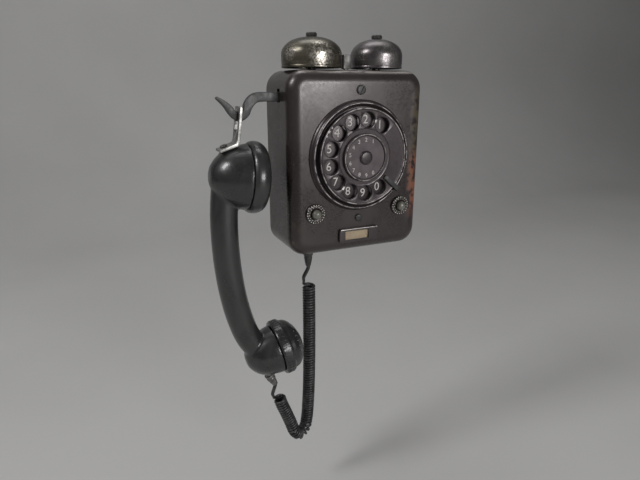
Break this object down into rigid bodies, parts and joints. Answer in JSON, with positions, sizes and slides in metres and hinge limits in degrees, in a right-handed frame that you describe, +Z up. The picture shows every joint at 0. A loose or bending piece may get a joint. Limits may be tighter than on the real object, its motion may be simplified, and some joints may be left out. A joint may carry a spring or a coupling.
{
  "type": "rotary wall phone",
  "caption": "Wall-mounted rotary telephone with two bells on top, a finger-wheel dial, side hook, handset on a hanger eye and a curly cord.",
  "frame": {"origin": "middle of the back plate's rear face, where the telephone meets the wall", "axes": "+X to the right seen from the front, +Y into the wall, +Z up"},
  "size_m": [0.1809, 0.0674, 0.3762],
  "materials": {
    "case_enamel": "worn dark grey enamel, satin",
    "bell_brown": "browned, scratched bell metal",
    "bell_grey": "dark grey bell metal with bright highlights",
    "dial_metal": "dark brownish grey enamel with worn edges",
    "dial_card": "warm grey printed card",
    "bakelite": "dark grey bakelite, satin",
    "bright_steel": "worn bright steel",
    "dark_steel": "dark oxidised steel",
    "brass": "dull brass",
    "winding": "enamelled copper winding",
    "label_paper": "aged cream card",
    "clear_window": "thin clear window",
    "cord_rubber": "black rubber"
  },
  "bodies": {
    "case": {"case_shell": "case_enamel", "back_plate": "dark_steel", "top_case_screw": "dark_steel", "bottom_case_screw": "dark_steel", "label_frame": "bright_steel", "label_card": "label_paper", "label_window": "clear_window", "left_collar": "dark_steel", "left_button_spring": "bright_steel", "left_switch_block": "bakelite", "right_collar": "dark_steel", "right_button_spring": "bright_steel", "right_switch_block": "bakelite", "left_bell": "bell_brown", "left_bell_post": "dark_steel", "left_bell_nut": "dark_steel", "right_bell": "bell_grey", "right_bell_post": "dark_steel", "right_bell_nut": "dark_steel", "ringer_bracket": "dark_steel", "ringer_yoke": "dark_steel", "left_ringer_coil": "winding", "right_ringer_coil": "winding", "dial_bezel": "dial_metal", "number_plate": "dial_metal", "finger_stop": "bright_steel", "dial_frame": "bright_steel", "governor_bracket": "bright_steel", "dial_spring": "dark_steel", "impulse_contacts": "brass", "hook_bracket": "bright_steel", "hook_pin": "bright_steel", "hook_contacts": "brass", "induction_coil": "winding", "capacitor": "bright_steel", "terminal_block": "bakelite", "cord_gland": "cord_rubber", "case_lead": "cord_rubber", "coiled_cord": "cord_rubber"},
    "dial_wheel": {"finger_wheel": "dial_metal", "card_ring": "dial_metal", "number_card": "dial_card", "hub_cap": "bakelite", "dial_shaft": "bright_steel", "main_gear": "brass"},
    "impulse_cam": {"impulse_pinion": "brass"},
    "governor": {"governor_rotor": "brass"},
    "clapper": {"clapper": "dark_steel"},
    "left_button": {"left_button": "bakelite"},
    "right_button": {"right_button": "bakelite"},
    "hook_lever": {"hook_lever": "dark_steel"},
    "handset": {"handset_body": "bakelite", "ear_cap": "bakelite", "mouth_cap": "bakelite", "receiver_capsule": "bright_steel", "transmitter_capsule": "bright_steel", "hanger_plate": "bright_steel", "hanger_screw": "dark_steel", "handset_ferrule": "bright_steel", "handset_lead": "cord_rubber"}
  },
  "joints": [
    {"name": "dial_turn", "type": "hinge", "parent": "case", "child": "dial_wheel", "pos_m": [0, -0.0545, 0.007], "axis": [0, 1, 0], "range_deg": [0, 340], "stiffness_Nm_per_rad": 0.003},
    {"name": "impulse_turn", "type": "hinge", "parent": "case", "child": "impulse_cam", "pos_m": [-0.02044, -0.0436, -0.00044], "axis": [0, 1, 0], "range_deg": [-1700, 0]},
    {"name": "governor_spin", "type": "hinge", "parent": "case", "child": "governor", "pos_m": [-0.01304, -0.0373, -0.00044], "axis": [0, 0, 1], "range_deg": [0, 6800]},
    {"name": "clapper_swing", "type": "hinge", "parent": "case", "child": "clapper", "pos_m": [0.0012, -0.025, 0.06705], "axis": [0, 1, 0], "range_deg": [-6, 6], "stiffness_Nm_per_rad": 0.02},
    {"name": "left_button_press", "type": "slide", "parent": "case", "child": "left_button", "axis": [0, 1, 0], "range_m": [0, 0.0026], "stiffness_N_per_m": 300},
    {"name": "right_button_press", "type": "slide", "parent": "case", "child": "right_button", "axis": [0, 1, 0], "range_m": [0, 0.0026], "stiffness_N_per_m": 300},
    {"name": "handset_lift", "type": "slide", "parent": "case", "child": "handset", "axis": [-0.6402, 0, 0.7682], "range_m": [0, 0.025]},
    {"name": "hook_swing", "type": "hinge", "parent": "case", "child": "hook_lever", "pos_m": [-0.048, -0.03, 0.05375], "axis": [0, 1, 0], "range_deg": [0, 6.1]}
  ],
  "couplings": [
    {"joint": "impulse_turn", "follows": "dial_turn", "ratio": -5},
    {"joint": "governor_spin", "follows": "dial_turn", "ratio": 20},
    {"joint": "hook_swing", "follows": "handset_lift", "rad_per_m": 4.1888}
  ]
}
